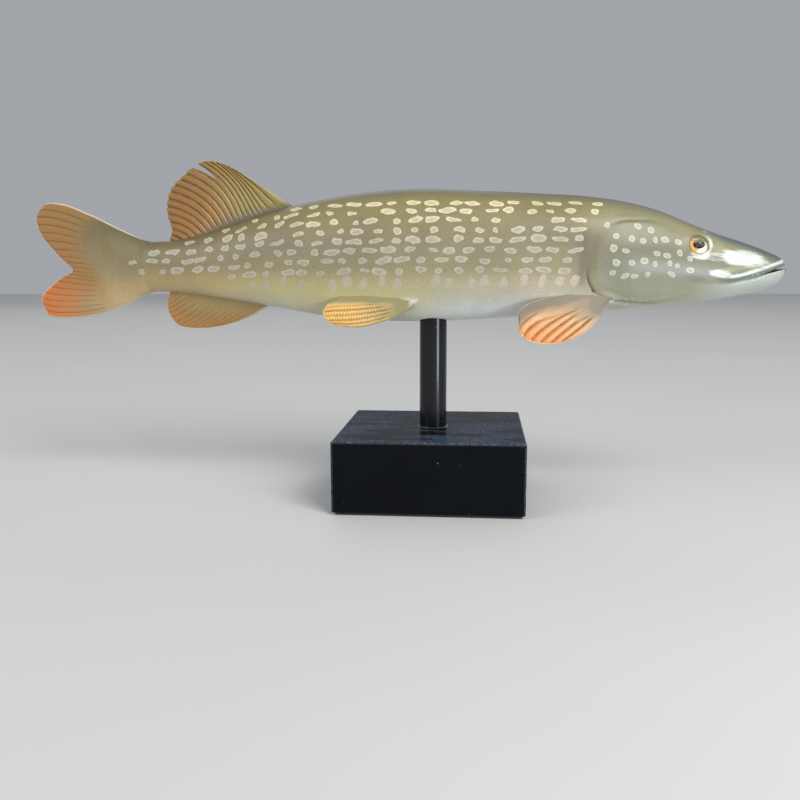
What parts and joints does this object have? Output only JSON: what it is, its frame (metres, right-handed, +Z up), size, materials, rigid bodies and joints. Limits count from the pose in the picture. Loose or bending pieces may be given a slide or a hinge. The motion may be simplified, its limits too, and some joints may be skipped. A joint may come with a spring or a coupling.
{
  "type": "pike swimbait on a display stand",
  "caption": "Slender pike-shaped bait with forked tail and inset fins, shown on a round rod in a square plinth; it turns on the rod and lifts off.",
  "frame": {"origin": "centre of the plinth's underside, on the surface it stands on", "axes": "+Z up along the rod; +X towards the fish's snout; the fish's middle plane is Y = 0"},
  "size_m": [0.329, 0.08, 0.1486],
  "materials": {
    "painted_body": "satin",
    "painted_fin": "satin",
    "eye_print": "satin",
    "eye_clear": "gloss",
    "plinth": "gloss",
    "rod": "gloss",
    "felt": "matte",
    "steel": "satin",
    "brass": "satin"
  },
  "bodies": {
    "stand": {"base_felt": "felt", "base_block": "plinth", "rod": "rod", "rod_washer": "steel", "rod_screw": "steel"},
    "sleeve": {"belly_sleeve": "brass"},
    "fish": {"body": "painted_body", "tail_fin": "painted_fin", "tail_dowels": "steel", "dorsal_fin": "painted_fin", "dorsal_pins": "steel", "anal_fin": "painted_fin", "anal_pins": "steel", "pectoral_fin_right": "painted_fin", "pectoral_fin_left": "painted_fin", "pectoral_pins": "steel", "pelvic_fin_right": "painted_fin", "pelvic_fin_left": "painted_fin", "pelvic_pins": "steel", "eye_disc_right": "eye_print", "eye_disc_left": "eye_print", "eye_dome_right": "eye_clear", "eye_dome_left": "eye_clear"}
  },
  "joints": [
    {"name": "fish_lift", "type": "slide", "parent": "stand", "child": "sleeve", "axis": [0, 0, 1], "range_m": [0, 0.05]},
    {"name": "fish_turn", "type": "hinge", "parent": "sleeve", "child": "fish", "pos_m": [0, 0, 0.1], "axis": [0, 0, 1], "continuous": true}
  ]
}
